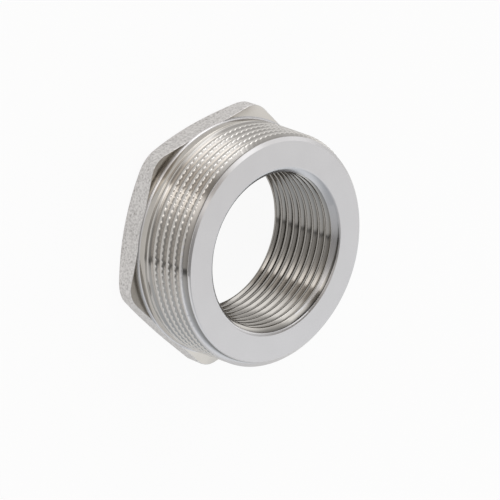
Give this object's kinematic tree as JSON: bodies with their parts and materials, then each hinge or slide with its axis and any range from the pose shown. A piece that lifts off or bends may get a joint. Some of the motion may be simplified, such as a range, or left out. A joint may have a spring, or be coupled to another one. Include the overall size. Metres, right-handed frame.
{
  "type": "hex bushing",
  "caption": "Hexagon head reducing bushing with a tapered outer pipe thread and a through bore for a smaller pipe thread.",
  "frame": {"origin": "centre of the hexagon head's back face", "axes": "+Z along the thread axis towards the threaded end, X through two opposite corners of the hexagon"},
  "size_m": [0.0662, 0.0594, 0.024],
  "materials": {
    "steel": "cast and sand-blasted on the hexagon, turned satin on the rest"
  },
  "bodies": {
    "root": {"hex_bushing": "steel"}
  },
  "joints": []
}
